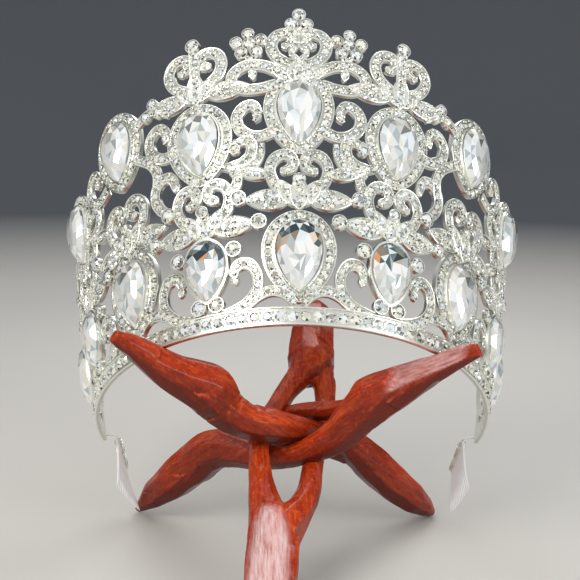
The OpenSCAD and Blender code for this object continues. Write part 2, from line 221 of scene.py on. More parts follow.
# Scrolls and leaves of the casting
# The frame is one zinc alloy casting. It is laid out flat here, with columns of stones
# 40 units apart, and bent onto a leaning cone. Each scroll is a flat bar with a bright
# raised edge on both sides of a channel that holds one row of small set stones.
BASE_R = 80
WALL_LEAN = math.radians(13)
COLUMN_UNITS = 40
COLUMN_PITCH = math.radians(23)
END_ANGLE = math.radians(99)
CROWN_TILT = math.radians(43.5)
CROWN_PLACE = Vector((0, 16.5, 47))
LEAN_BACK = Matrix.Rotation(-CROWN_TILT, 3, "X")


def wall_frame(column, x, y, out):
    """Place on the wall in metres, with the directions to the right, up and out."""
    angle = (column + x / COLUMN_UNITS) * COLUMN_PITCH
    across = Vector((math.cos(angle), math.sin(angle), 0))
    ahead = Vector((math.sin(angle), -math.cos(angle), 0))
    up = ahead * math.sin(WALL_LEAN) + Vector((0, 0, math.cos(WALL_LEAN)))
    face = across.cross(up)
    point = ahead * BASE_R + up * y + face * out
    return (LEAN_BACK @ point + CROWN_PLACE) * MM, LEAN_BACK @ across, LEAN_BACK @ up, LEAN_BACK @ face


def read_points(mesh):
    """The places of a mesh's points, one row each."""
    points = np.empty(len(mesh.vertices) * 3)
    mesh.vertices.foreach_get("co", points)
    return points.reshape(-1, 3)


def bend(mesh, column, side):
    """Bends a flat layout onto the wall, at a column and mirrored for side -1."""
    flat = read_points(mesh)
    angle = (column + side * flat[:, 0] / COLUMN_UNITS) * COLUMN_PITCH
    radius = BASE_R + flat[:, 1] * math.sin(WALL_LEAN) + flat[:, 2] * math.cos(WALL_LEAN)
    height = flat[:, 1] * math.cos(WALL_LEAN) - flat[:, 2] * math.sin(WALL_LEAN)
    bent = np.stack([radius * np.sin(angle), -radius * np.cos(angle), height], axis=1)
    bent = (bent @ np.array(LEAN_BACK).T + np.array(CROWN_PLACE)) * MM
    mesh.vertices.foreach_set("co", bent.ravel())
    if side < 0:
        mesh.flip_normals()
    mesh.update()


SCROLL_W = 4.9
SCROLL_BACK = 0.4
SCROLL_TOP = 2.1
PAVE_D = 2.85
PAVE_PITCH = 3
TIP_W = 3.4
TIP_ROOT = 0.6
CHANNEL_SUNK = 0.45
LEAST_END = 0.7
# The bright edge of a scroll: how far in from its side, and how far above its top
EDGE_FORM = [(0, -0.2), (0.25, 0.1), (0.55, 0.05), (0.8, -CHANNEL_SUNK)]


def section_curve(points):
    """A closed flat outline that other curves are swept with."""
    bpy.ops.curve.primitive_bezier_circle_add()
    outline = bpy.context.object
    outline.data.splines.clear()
    spline = outline.data.splines.new("POLY")
    spline.points.add(len(points) - 1)
    for point, (x, y) in zip(spline.points, points):
        point.co = (x, y, 0, 1)
    spline.use_cyclic_u = True
    return outline


def channel_section(width, back, top):
    half = width / 2
    left = [(-half, back)] + [(-half + aside, top + rise) for aside, rise in EDGE_FORM]
    return section_curve(left + [(-x, y) for x, y in reversed(left)])


scroll_section = channel_section(SCROLL_W, SCROLL_BACK, SCROLL_TOP)
narrow_section = channel_section(SCROLL_W * 0.88, SCROLL_BACK + 0.2, SCROLL_TOP + 0.1)
casting_parts = []
seats = []


def smooth_curve(path, closed=False, halves=()):
    """A smooth curve through flat or solid points, with its half thickness at each."""
    bpy.ops.curve.primitive_bezier_curve_add()
    curve = bpy.context.object
    spline = curve.data.splines[0]
    spline.bezier_points.add(len(path) - 2)
    for knot, point in zip(spline.bezier_points, path):
        knot.co = (*point, 0)[:3]
        knot.handle_left_type = "AUTO"
        knot.handle_right_type = "AUTO"
    for knot, half in zip(spline.bezier_points, halves):
        knot.radius = half
    spline.use_cyclic_u = closed
    spline.resolution_u = 5
    return curve, spline


def sweep(curve, section):
    """Sweeps a section along a curve, kept upright, with closed ends."""
    curve.data.dimensions = "3D"
    curve.data.twist_mode = "Z_UP"
    curve.data.bevel_mode = "OBJECT"
    curve.data.bevel_object = section
    curve.data.use_fill_caps = True


def spaced_points(spline, pitch):
    """Points at even steps along the middle of a curve."""
    knots = list(spline.bezier_points)
    if spline.use_cyclic_u:
        knots.append(knots[0])
    line = []
    for a, b in zip(knots, knots[1:]):
        line += interpolate_bezier(a.co, a.handle_right, b.handle_left, b.co, 12)
    steps = [0]
    for a, b in zip(line, line[1:]):
        steps.append(steps[-1] + (b - a).length)
    count = max(2, round(steps[-1] / pitch))
    found = []
    for k in range(count):
        wanted = steps[-1] * (k + 0.5) / count
        index = next(i for i, s in enumerate(steps) if s >= wanted)
        share = (wanted - steps[index - 1]) / max(steps[index] - steps[index - 1], 1e-6)
        here = line[index - 1].lerp(line[index], share)
        way = (line[index] - line[index - 1]).normalized()
        found.append((here.x, here.y, way.x, way.y))
    return found


def add_casting_part(mesh):
    casting_parts.append(add_object("casting_part", mesh))


def finish_flat(copies):
    """Makes the active curve a mesh, bends a copy of it onto each column and side."""
    bpy.ops.object.convert(target="MESH")
    flat = bpy.context.object
    bpy.ops.object.mode_set(mode="EDIT")
    bpy.ops.mesh.select_all(action="SELECT")
    bpy.ops.mesh.remove_doubles(threshold=0.001)
    bpy.ops.object.mode_set(mode="OBJECT")
    for column, side in copies:
        mesh = flat.data.copy()
        bend(mesh, column, side)
        add_casting_part(mesh)
    bpy.data.objects.remove(flat)


def cast_scroll(path, copies, section=None, first=0.6, last=0.6, tip=0, tip_turn=0):
    """One scroll and its row of stones, on each column and side. A curled end runs out
    in a bare pointed tip, turned from the scroll's own way."""
    curve, spline = smooth_curve(path)
    sweep(curve, section or scroll_section)
    spline.bezier_points[0].radius = first
    spline.bezier_points[-1].radius = last
    row = spaced_points(spline, PAVE_PITCH)
    for column, side in copies:
        for number, (x, y, way_x, way_y) in enumerate(row):
            end_share = first if number == 0 else last if number == len(row) - 1 else 1
            size = PAVE_D * max(end_share, LEAST_END)
            seats.append((column, side * x, y, SCROLL_TOP - CHANNEL_SUNK, size, side * way_x, way_y))
    finish_flat(copies)
    if tip:
        (ax, ay), (bx, by) = path[-2:]
        turn = math.atan2(by - ay, bx - ax) + math.radians(tip_turn)
        way = (math.cos(turn), math.sin(turn))
        root = (bx - way[0] * TIP_ROOT, by - way[1] * TIP_ROOT)
        cast_leaf(root, (bx + way[0] * tip, by + way[1] * tip), TIP_W, copies)


ROW_STEP = math.cos(math.radians(30))


def hex_fill(inside, pitch, low, high):
    """Seats in close-packed rows wherever inside says there is room."""
    found = []
    rows = int((high[1] - low[1]) / (pitch * ROW_STEP)) + 1
    for row in range(rows):
        y = low[1] + row * pitch * ROW_STEP
        x = low[0] + (row % 2) * pitch / 2
        while x < high[0]:
            if inside(x, y):
                found.append((x, y))
            x += pitch
    return found


LEAF_BACK = 0.2
LEAF_TOP = 2.4
LEAF_EDGE = 0.3
LEAF_SUNK = 0.5
LEAF_SPREAD = 1.03
LEAF_BEVEL = 0.25
# A leaf's half width on its way from tip to tip, as shares of its length and half width
LEAF_BULGE = [(0, 0), (0.1, 0.5), (0.3, 0.93), (0.5, 1), (0.72, 0.76), (0.9, 0.34)]
# The first stone's distance from the tip, and how far stones keep from the leaf's side,
# as shares of a stone's width
LEAF_START = 0.9
LEAF_MARGIN = 0.42


def select_faces(thing, wanted):
    """Goes into edit mode with only the wanted faces selected."""
    bpy.ops.object.mode_set(mode="EDIT")
    bpy.ops.mesh.select_all(action="DESELECT")
    bpy.ops.object.mode_set(mode="OBJECT")
    for face in thing.data.polygons:
        face.select = wanted(face)
    bpy.ops.object.mode_set(mode="EDIT")


def cast_leaf(tip_a, tip_b, width, copies, level=0):
    """A pointed leaf between two tips, covered with small set stones."""
    ax, ay = tip_a
    along = (tip_b[0] - ax, tip_b[1] - ay)
    length = math.hypot(*along)
    way = (along[0] / length, along[1] / length)

    def at(share, out):
        return (ax + along[0] * share - way[1] * out, ay + along[1] * share + way[0] * out)

    outline = [at(s, -width / 2 * w) for s, w in LEAF_BULGE] + [at(1, 0)]
    outline += [at(s, width / 2 * w) for s, w in reversed(LEAF_BULGE[1:])]
    curve, spline = smooth_curve(outline, closed=True)
    for knot in (spline.bezier_points[0], spline.bezier_points[len(LEAF_BULGE)]):
        knot.handle_left_type = "VECTOR"
        knot.handle_right_type = "VECTOR"
    thick = LEAF_TOP - LEAF_BACK
    middle = LEAF_BACK + thick / 2 + level
    curve.data.dimensions = "2D"
    curve.data.fill_mode = "BOTH"
    curve.data.extrude = thick / 2 - LEAF_BEVEL
    curve.data.bevel_depth = LEAF_BEVEL
    curve.data.bevel_resolution = 1
    curve.data.offset = -LEAF_BEVEL
    curve.location.z = middle
    bpy.context.view_layer.update()
    bpy.ops.object.convert(target="MESH")
    bpy.ops.object.transform_apply(location=True)
    leaf = bpy.context.object
    select_faces(leaf, lambda face: face.normal.z > 0.99 and face.center.z > middle)
    bpy.ops.mesh.inset(thickness=LEAF_EDGE, depth=-LEAF_SUNK, use_even_offset=False)
    bpy.ops.object.mode_set(mode="OBJECT")
    shares, bulges = zip(*LEAF_BULGE, (1, 0))

    def inside(u, v):
        return abs(v) < width / 2 * np.interp(u / length, shares, bulges) - PAVE_D * LEAF_MARGIN

    pitch = PAVE_D * LEAF_SPREAD
    first = (PAVE_D * LEAF_START, -2 * pitch * ROW_STEP)
    for u, v in hex_fill(inside, pitch, first, (length, width)):
        x = ax + way[0] * u - way[1] * v
        y = ay + way[1] * u + way[0] * v
        for column, side in copies:
            seats.append((column, side * x, y, LEAF_TOP + level - LEAF_SUNK, PAVE_D, side, 0))
    finish_flat(copies)


EVERY_COLUMN = [(column, side) for column in range(-4, 5) for side in (-1, 1)]
MIDDLE_Y = [61.5, 52, 59, 52, 58]
HEART = [(2.6, -9), (7.4, -7), (11, -2.2), (11, 3.6), (7.2, 7.4), (3.2, 6.4), (2.8, 2.4), (5.8, 0.6)]
FAN_DROP = 11.2
for rank in range(5):
    copies = [(c, s) for c, s in EVERY_COLUMN if abs(c) == rank]
    once = [(c, 1) for c in {c for c, s in copies}]
    height = MIDDLE_Y[rank]
    cast_scroll([(x, y + height) for x, y in HEART], copies, first=0.85, last=0.8, tip=2)
    foot = height - FAN_DROP
    cast_leaf((3.4, foot - 0.8), (22.6, foot + 0.4), 8.6, copies)
    cast_leaf((0.6, foot - 3.6), (8.8, foot + 8.2), 6.4, copies, level=0.15)
    cast_leaf((0, foot - 5.2), (0, foot + 10.4), 7.4, once, level=0.3)

EVEN_GAPS = [(c, s) for c in (0, -2, 2, -4, 4) for s in (-1, 1) if abs(c + s) < 4.5]
INNER_GAPS = [(0, -1), (0, 1)]
TALL_GAPS = [(0, -1), (0, 1), (-2, -1), (2, 1)]
SIDE_GAPS = [(-2, 1), (2, -1)]
END_GAPS = [(-4, 1), (4, -1)]
cast_scroll([(28.2, 20.4), (26.6, 24), (22.4, 25), (18.6, 21.8), (17.8, 15.8), (21, 10.6), (26, 7.6),
             (33.4, 5.6)], EVEN_GAPS, first=0.8, last=1)
cast_leaf((28, 21), (26.6, 16.6), TIP_W, EVEN_GAPS)
cast_scroll([(1.6, 8), (6, 12), (11, 13.4), (16.4, 12.2), (22.4, 8.4)], EVEN_GAPS, narrow_section, 0.9, 0.9)
TALL_HOOK = [(9.4, 79.6), (15.6, 77.6), (21, 79.6), (24, 84.6), (22.6, 90), (18.2, 91.8), (15.4, 87.6)]
cast_scroll(TALL_HOOK, TALL_GAPS, first=1, last=0.8, tip=4, tip_turn=55)
cast_scroll([(32, 67), (26, 65.8), (21.2, 67.6), (18.6, 71.6), (20, 76), (24.6, 75.6)],
            TALL_GAPS, last=0.8, tip=2)
cast_scroll([(27, 66), (24.6, 60), (28, 54)], TALL_GAPS, narrow_section, 1, 1)
cast_scroll([(14.4, 75.4), (15.6, 69.4), (19.4, 64.6), (27.6, 63.4)], INNER_GAPS, narrow_section, 0.5, 1)
cast_leaf((11.4, 60.4), (26, 63.4), 5.8, TALL_GAPS)
cast_scroll([(COLUMN_UNITS - x + 1.4, y) for x, y in TALL_HOOK],
            SIDE_GAPS, first=1, last=0.8, tip=4, tip_turn=-55)
SIDE_HOOK = [(27.8, 50.6), (20.6, 55.6), (18, 62), (20.6, 67.4), (26, 68.2), (28.6, 62.6)]
cast_scroll(SIDE_HOOK, SIDE_GAPS + END_GAPS, last=0.8, tip=2)
cast_scroll([(19, 64), (19.4, 74), (8.4, 85)], SIDE_GAPS, narrow_section, 1, 1)
cast_scroll([(10, 98), (20.6, 101.4), (28.4, 97)], SIDE_GAPS, narrow_section, 1, 1)
cast_scroll([(10.6, 4), (11.2, 18), (9.6, 36)], [(-4, -1), (4, 1)], narrow_section, 1, 0.8)

CREST_Y = 117.6
cast_scroll([(x * 0.88, y * 0.88 + CREST_Y) for x, y in HEART], INNER_GAPS, first=0.85, last=0.8, tip=1.6)
cast_scroll([(8.4, 100.6), (15.6, 99), (22.4, 100.2), (25.6, 104.4), (22.6, 109.2), (15, 110), (6, 105.4)],
            INNER_GAPS, first=1, last=1)
cast_scroll([(17.6, 108.6), (18, 114.6)], INNER_GAPS, narrow_section, 1, 1)
cast_leaf((0, 100), (0, 112.6), 9, [(0, 1)], level=0.1)
cast_leaf((1, 103), (10.4, 107.6), 6, INNER_GAPS, level=0.05)
cast_leaf((17.6, 108.4), (17, 103), TIP_W, INNER_GAPS)
# The crest's stem is two bars that part twice, round two small diamond openings
slim_section = channel_section(2.3, SCROLL_BACK, SCROLL_TOP)
cast_scroll([(0.7, 112), (2.9, 115.2), (0.9, 118.4), (2.9, 121.6), (0.9, 124.8), (1.4, 128)],
            INNER_GAPS, slim_section, 1, 1)
SIDE_CREST_Y = 112.6
SIDE_CREST = [(-1, -1), (-1, 1), (1, -1), (1, 1)]
cast_scroll([(x * 0.94, y * 0.94 + SIDE_CREST_Y) for x, y in HEART],
            SIDE_CREST, first=0.85, last=0.8, tip=1.8)
cast_leaf((3.4, 99.8), (22, 101), 8.2, SIDE_CREST)
cast_leaf((0.6, 97.4), (8.8, 108.4), 6.4, SIDE_CREST, level=0.15)
cast_leaf((0, 96), (0, 112), 7.4, [(-1, 1), (1, 1)], level=0.3)
cast_scroll([(0, 108), (0, 122.6)], [(-1, 1), (1, 1)], narrow_section, 1, 1)


# Rims of the pear stones
# A large pear stone sits in a teardrop rim that holds one row of set stones, with a
# bright edge outside and a thin bezel against the stone.
PEAR_FORM = (0.5, 1.16)
RIM_FORM = (0.35, 1.105)
PEAR_SIZE = (17, 28)
SMALL_PEAR_SIZE = (16, 24)
HALO_SIZE = (28, 37)
RIM_STEPS = 44
RIM_STONE_D = 3.2
RIM_STONE_PITCH = 3.35


def pear_point(turn, width, length, form):
    x = -width / 2 * form[1] * math.sin(turn) * abs(math.cos(turn / 2)) ** form[0]
    return x, length / 2 * math.cos(turn)


def rim_point(turn, inner, outer, share):
    """A point between the outlines of a stone and of its rim, by its share of the way."""
    a = pear_point(turn, *inner, PEAR_FORM)
    b = pear_point(turn, *outer, RIM_FORM)
    return a[0] + (b[0] - a[0]) * share, a[1] + (b[1] - a[1]) * share


def flat_x(x, y):
    """The layout's units for a true distance aside, at a height on the wall."""
    return x / (BASE_R + y * math.sin(WALL_LEAN)) / COLUMN_PITCH * COLUMN_UNITS


def mesh_from(shape, name):
    """Turns a bmesh into a finished mesh, with its faces pointing outwards."""
    mesh = bpy.data.meshes.new(name)
    bmesh.ops.recalc_face_normals(shape, faces=shape.faces)
    shape.to_mesh(mesh)
    shape.free()
    return mesh


def cast_rim(column, height, inner, outer, steps):
    """A ring between two pear outlines. Each step is a share of the way out and a level."""
    rim = bmesh.new()
    loops = []
    for share, out in steps:
        loop = []
        for k in range(RIM_STEPS):
            x, y = rim_point(k * 2 * math.pi / RIM_STEPS, inner, outer, share)
            place = wall_frame(column, flat_x(x, height + y), height + y, out)[0]
            loop.append(rim.verts.new(place))
        loops.append(loop)
    for low, high in zip(loops, loops[1:] + loops[:1]):
        for k in range(RIM_STEPS):
            m = (k + 1) % RIM_STEPS
            rim.faces.new((low[k], low[m], high[m], high[k]))
    add_casting_part(mesh_from(rim, "casting_part"))


def both_sides(k):
    """Each side of the middle, or the middle alone for 0."""
    return (-k, k) if k else (0,)


RIM_FLOOR = 1.6
RIM_SECTION = [(0, 0), (0, 2.6), (0.06, 3), (0.12, 3), (0.18, 1.7), (0.87, RIM_FLOOR), (0.91, 2.1),
               (0.97, 2.1), (1, 1.7), (1, 0)]
BEZEL_SECTION = [(0, 0), (0, 2.6), (0.3, 3.1), (0.8, 3), (1, 2.2), (1, 0)]
# How far in under its stone a rim starts, and how far out a small stone's bezel ends
RIM_UNDER = 0.98
BEZEL_OUT = 1.14
# The row of set stones runs a little outside the middle of the rim
ROW_OUT = 1.02
ROW_POINTS = 200
UPPER_PEAR_Y = [87.4, 78.2, 92, 76.2]
LARGE_LOW_Y = 27
SMALL_LOW_Y = 24.2
pears = []
for k, height in enumerate(UPPER_PEAR_Y):
    pears += [(column, height, False) for column in both_sides(k)]
for k in range(5):
    height = SMALL_LOW_Y if k % 2 else LARGE_LOW_Y
    pears += [(column, height, k % 2 == 1) for column in both_sides(k)]
for column, height, small in pears:
    width, length = SMALL_PEAR_SIZE if small else PEAR_SIZE
    inner = (width * RIM_UNDER, length * RIM_UNDER)
    if small:
        cast_rim(column, height, inner, (width * BEZEL_OUT, length * BEZEL_OUT), BEZEL_SECTION)
        continue
    cast_rim(column, height, inner, HALO_SIZE, RIM_SECTION)
    ring = []
    for k in range(ROW_POINTS):
        x, y = rim_point(k * 2 * math.pi / ROW_POINTS, inner, HALO_SIZE, 0.5)
        ring.append((x * ROW_OUT, y * ROW_OUT))
    total = sum(math.dist(p, q) for p, q in zip(ring, ring[1:] + ring[:1]))
    count = round(total / RIM_STONE_PITCH)
    walked = 0
    placed = 0
    for p, q in zip(ring, ring[1:] + ring[:1]):
        if walked >= placed * total / count and placed < count:
            y = height + p[1]
            seats.append((column, flat_x(p[0], y), y, RIM_FLOOR, RIM_STONE_D, q[0] - p[0], q[1] - p[1]))
            placed += 1
        walked += math.dist(p, q)


# Base band
# A flat strip bent round the head, with a bright rail along each edge and a row of set
# stones between them. Its inside is plain.
BAND_H = 7
BAND_FLOOR = 1.9
BAND_STEPS = 96
BAND_STONE_D = 4.2
BAND_STONE_PITCH = 4.5
RAIL_FORM = [(0, 0.6), (0, 2.2), (0.2, 2.6), (0.6, 2.6), (0.85, BAND_FLOOR)]
BAND_SECTION = RAIL_FORM + [(BAND_H - y, out) for y, out in reversed(RAIL_FORM)]


def band_x(share):
    """The layout's units at a share of the way along the band."""
    return (2 * share - 1) * END_ANGLE / COLUMN_PITCH * COLUMN_UNITS


band = bmesh.new()
rings = []
for k in range(BAND_STEPS + 1):
    x = band_x(k / BAND_STEPS)
    rings.append([band.verts.new(wall_frame(0, x, y, out)[0]) for y, out in BAND_SECTION])
for a, b in zip(rings, rings[1:]):
    for k in range(len(BAND_SECTION)):
        m = (k + 1) % len(BAND_SECTION)
        band.faces.new((a[k], a[m], b[m], b[k]))
band.faces.new(rings[0])
band.faces.new(list(reversed(rings[-1])))
add_casting_part(mesh_from(band, "casting_part"))
band_count = round(2 * END_ANGLE * (BASE_R + 1) / BAND_STONE_PITCH)
for k in range(band_count):
    seats.append((0, band_x((k + 0.5) / band_count), BAND_H / 2, BAND_FLOOR, BAND_STONE_D, 1, 0))


# Round stones and their cups
# The larger round stones sit in thin cups soldered to the scrolls. A flower of six of
# them, one in the middle of five, stands on each side of the crest.
ROUND_D = 5.4
CUP_BACK = 1
CUP_TOP = 2.8
CUP_LIP = 0.35
CUP_WALL = 0.045
CUP_SUNK = 0.3
GAP_ROUNDS = [(24.4, 51.6), (16.4, 41.1), (27.3, 31), (35.9, 10.1)]
TALL_GAP_ROUND = (25.2, 72.6)
FAN_ROUNDS = [(21, 104), (17.4, 99.6), (23.6, 99)]
TREFOIL = [(0, 132.4), (-2.7, 127.8), (2.7, 127.8)]
SIDE_TOP_Y = 124.2
TOP_FLOWER = (18.5, 119.6)
FLOWER_REACH = 4.8
# Each stone: its column, place in the layout and share of the full width
rounds = []
for k, height in enumerate(MIDDLE_Y):
    rounds += [(column, 0, height - 3.4, 0.8) for column in both_sides(k)]
for column, side in EVEN_GAPS:
    rounds += [(column, side * x, y, 1) for x, y in GAP_ROUNDS]
for column, side in TALL_GAPS:
    rounds.append((column, side * TALL_GAP_ROUND[0], TALL_GAP_ROUND[1], 0.7))
for side in (-1, 1):
    for k in range(6):
        turn = math.radians(90 + k * 72)
        reach = FLOWER_REACH if k < 5 else 0
        x = TOP_FLOWER[0] + reach * math.cos(turn)
        rounds.append((0, side * x, TOP_FLOWER[1] + reach * math.sin(turn), 0.85))
    rounds += [(side * 2, -side * x, y, 0.8) for x, y in FAN_ROUNDS]
rounds += [(0, x, y, 0.92) for x, y in TREFOIL]
rounds += [(column, 0, SIDE_TOP_Y, 1) for column in both_sides(1)]
bpy.ops.mesh.primitive_cylinder_add(vertices=20, radius=0.5, depth=1, location=(0, 0, 0.5))
cup = bpy.context.object
bpy.ops.object.transform_apply(location=True)
select_faces(cup, lambda face: face.normal.z > 0.9)
bpy.ops.mesh.inset(thickness=CUP_WALL)
bpy.ops.mesh.extrude_region_move(TRANSFORM_OT_translate={"value": (0, 0, -CUP_SUNK)})
bpy.ops.object.mode_set(mode="OBJECT")
for column, x, y, size in rounds:
    point, across, up, face = wall_frame(column, x, y, CUP_BACK)
    wide = (ROUND_D * size + 2 * CUP_LIP) * MM
    tall = (CUP_TOP + CUP_LIP - CUP_BACK) * MM
    turn = Matrix((across * wide, up * wide, face * tall)).transposed().to_4x4()
    mesh = cup.data.copy()
    mesh.transform(Matrix.Translation(point) @ turn)
    add_casting_part(mesh)
bpy.data.objects.remove(cup)


# Finish of the casting
# All its parts are soldered into one piece under bright silver plate. Its colour follows
# the relief: a painted highlight on the raised edges, painted shade in the channels and a little on the
# back.
SILVER_LIGHT_AND_SHADE = [(0.1, (0.79, 0.8, 0.75)), (0.5, (0.61, 0.62, 0.57)), (0.61, (0.67, 0.68, 0.62)),
                (0.68, (0.94, 0.95, 0.88))]
RELIEF_FULL = 3


def join_parts(parts, name):
    bpy.ops.object.select_all(action="DESELECT")
    for part in parts:
        part.select_set(True)
    bpy.context.view_layer.objects.active = parts[0]
    bpy.ops.object.join()
    parts[0].name = name
    return parts[0]


def noise(place, scale, detail, **more):
    values = {"Vector": place, "Scale": scale, "Detail": detail, **more}
    return add_node(place.tree, "ShaderNodeTexNoise", values=values)


def tones(share, stops):
    return add_node(share.tree, "ShaderNodeValToRGB", {"stops": stops}, {"Fac": share})


def stored(tree, name, output=2):
    """A value, or for output 1 a vector, that is stored in the mesh."""
    return add_node(tree, "ShaderNodeAttribute", {"attribute_name": name}, output=output)


def bump(height, strength, distance):
    values = {"Height": height, "Strength": strength, "Distance": distance}
    return add_node(height.tree, "ShaderNodeBump", values=values)


def store(mesh, name, values):
    mesh.attributes.new(name, "FLOAT", "POINT").data.foreach_set("value", values)


def lay_relief(mesh):
    """Stores how far each point stands out of the wall, as a share of the full relief."""
    points = (read_points(mesh) / MM - np.array(CROWN_PLACE)) @ np.array(LEAN_BACK)
    radius = np.hypot(points[:, 0], points[:, 1])
    out = (radius - BASE_R) * math.cos(WALL_LEAN) - points[:, 2] * math.sin(WALL_LEAN)
    store(mesh, "relief", np.clip(out / RELIEF_FULL, 0, 1))


casting = join_parts(casting_parts, "crown_casting")
silver, tree, shader = new_material("silver_plate")
place = object_place(tree)
cloud = noise(place, 60, 2)
# Edges stand far out and get a painted highlight, and channels a painted shade
fill(shader, {
    "Base Color": tones(stored(tree, "relief") + cloud * 0.06 - 0.03, SILVER_LIGHT_AND_SHADE),
    "Roughness": cloud * 0.2 + 0.18,
    "Metallic": 1,
    "Normal": bump(noise(place, 900, 3), 0.25, 0.0001),
})
casting.data.materials.clear()
casting.data.materials.append(silver)
bpy.ops.object.shade_smooth_by_angle(angle=math.radians(35))
for section in (scroll_section, narrow_section, slim_section):
    bpy.data.objects.remove(section)
lay_relief(casting.data)
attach(casting, BODY)
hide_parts("crown_frame")


# Small set stones
# Glass stones with a silvered back, pressed into the channels and leaves, each with a
# table and a ring of facets. A facet sends back one patch of the room, so its shade is
# stored facet by facet in the mesh.
crystal, tree, shader = new_material("crystal")
fill(shader, {
    "Base Color": add_node(tree, "ShaderNodeVertexColor", {"layer_name": "shade"}),
    "Metallic": 0.35,
    "Roughness": 0.08,
    "IOR": 1.55,
    "Coat Weight": 0.25,
    "Coat Roughness": 0.02,
})
STONE_TINTS = [(0.98, 1, 0.97), (0.98, 1, 0.91), (0.93, 0.98, 0.98), (1, 0.98, 0.87)]
# How much light a facet sends back: a table is mostly bright, a side facet as often dark
TABLE_LIGHTS = [1, 1, 1, 0.9, 0.7, 0.4]
FACET_LIGHTS = [1, 1, 1, 0.9, 0.75, 0.5, 0.24, 0.08]
STONE_TILT = 0.05
draw = random.Random(7)


def cut_stone(sides, rows):
    """Points and faces of a round stone, down from its table. Each row is a share of the
    stone's width and a level, and the last two are the girdle's."""
    points = []
    faces = [tuple(range(sides))]
    for number, (share, level) in enumerate(rows):
        for k in range(sides):
            turn = (k + 0.5 * min(number, len(rows) - 2)) * 2 * math.pi / sides
            points.append((0.5 * share * math.cos(turn), 0.5 * share * math.sin(turn), level))
    for number in range(len(rows) - 1):
        above = number * sides
        below = above + sides
        for k in range(sides):
            m = (k + 1) % sides
            if number == len(rows) - 2:
                faces.append((above + k, below + k, below + m, above + m))
            else:
                faces.append((above + k, below + k, above + m))
                faces.append((above + m, below + k, below + m))
    faces.append(tuple((len(rows) - 1) * sides + k for k in reversed(range(sides))))
    return np.array(points), faces


def join_copies(name, places, polygons, material):
    """One mesh of many copies, whose points and faces are given copy by copy."""
    mesh = bpy.data.meshes.new(name)
    mesh.from_pydata(np.concatenate(places).tolist(), [], polygons)
    mesh.materials.append(material)
    return mesh


def set_stones(name, places, cut):
    """Joins a copy of the cut stone at every place, with a shade on each facet."""
    points, faces = cut
    coordinates = []
    polygons = []
    shades = []
    for column, x, y, out, size, way_x, way_y in places:
        point, across, up, face = wall_frame(column, x, y, out)
        spin = draw.uniform(0, 2 * math.pi)
        tip = [draw.gauss(0, STONE_TILT), draw.gauss(0, STONE_TILT)]
        axis = (face + across * tip[0] + up * tip[1]).normalized()
        right = across * math.cos(spin) + up * math.sin(spin)
        right = (right - axis * right.dot(axis)).normalized()
        above = axis.cross(right)
        turn = np.array([right, above, axis]) * size * MM
        start = len(coordinates) * len(points)
        coordinates.append(points @ turn + np.array(point))
        tint = draw.choice(STONE_TINTS)
        for number, polygon in enumerate(faces):
            polygons.append([start + v for v in polygon])
            light = draw.choice(FACET_LIGHTS if number else TABLE_LIGHTS)
            shades.append([c * light for c in tint] + [1])
    mesh = join_copies(name, coordinates, polygons, crystal)
    layer = mesh.color_attributes.new("shade", "FLOAT_COLOR", "CORNER")
    colours = np.repeat(np.array(shades), [len(p) for p in polygons], axis=0)
    layer.data.foreach_set("color", colours.ravel())
    stones = add_object(name, mesh)
    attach(stones, BODY)
    return stones


set_stones("set_stones", seats, cut_stone(8, [(0.5, 0.2), (1, 0), (1, -0.2)]))


# Prong beads
# Tiny beads of the casting's own metal, raised in a pair beside each set stone to hold
# it in its seat. Their sizes are shares of the stone's width.
BEAD_R = 0.14
BEAD_ALONG = 0.5
BEAD_ASIDE = 0.36
BEAD_LIFT = 0.35
bpy.ops.mesh.primitive_ico_sphere_add(subdivisions=1, radius=1)
bead = bpy.context.object
bead_points = read_points(bead.data)
bead_faces = [tuple(p.vertices) for p in bead.data.polygons]
bpy.data.objects.remove(bead)
bead_places = []
bead_polygons = []
for column, x, y, out, size, way_x, way_y in seats:
    point, across, up, face = wall_frame(column, x, y, out)
    way = (across * way_x + up * way_y).normalized()
    aside = face.cross(way)
    for hand in (-1, 1):
        start = len(bead_places) * len(bead_points)
        middle = point + (way * BEAD_ALONG + aside * hand * BEAD_ASIDE) * size * MM + face * BEAD_LIFT * MM
        bead_places.append(bead_points * size * BEAD_R * MM + np.array(middle))
        bead_polygons += [[start + v for v in polygon] for polygon in bead_faces]
beads = add_object("prong_beads", join_copies("prong_beads", bead_places, bead_polygons, silver))
lay_relief(beads.data)
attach(beads, BODY)


# Round stones
# The same silvered glass as the small set stones, cut with more facets. Each is pressed
# into its cup.
round_places = [(c, x, y, CUP_TOP + 0.15, ROUND_D * size, 1, 0) for c, x, y, size in rounds]
round_cut = cut_stone(12, [(0.42, 0.21), (0.7, 0.15), (1, 0), (1, -0.03)])
round_stones = set_stones("round_brilliants", round_places, round_cut)
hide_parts("round_stones")


# Pear stones
# Sixteen cut pears with a silvered back, each with a table, kite facets and a girdle.
# The round end sends back the dark of the room, and the point its light.
PEAR_WHITE = [(1, 1, 1), (0.85, 0.9, 0.92), (0.92, 0.97, 1), (0.5, 0.56, 0.58), (0.9, 0.87, 0.78),
              (0.72, 0.76, 0.76), (1, 1, 0.98)]
PEAR_TEAL = [(0.02, 0.045, 0.055), (0.06, 0.11, 0.13), (0.16, 0.22, 0.23), (0.85, 0.9, 0.92),
             (0.3, 0.24, 0.17)]
PEAR_GREY = [(0.22, 0.23, 0.22), (0.4, 0.42, 0.4), (0.7, 0.72, 0.7), (0.98, 0.98, 0.95), (0.62, 0.58, 0.5)]
PEAR_WARM = [(0.85, 0.36, 0.14), (0.6, 0.46, 0.32), (0.8, 0.9, 0.95), (0.08, 0.13, 0.14), (0.9, 0.76, 0.6),
             (1, 1, 1), (0.5, 0.56, 0.58), (0.9, 0.95, 1)]
PEAR_LIFT = 2.74
PEAR_RISE = 0.2
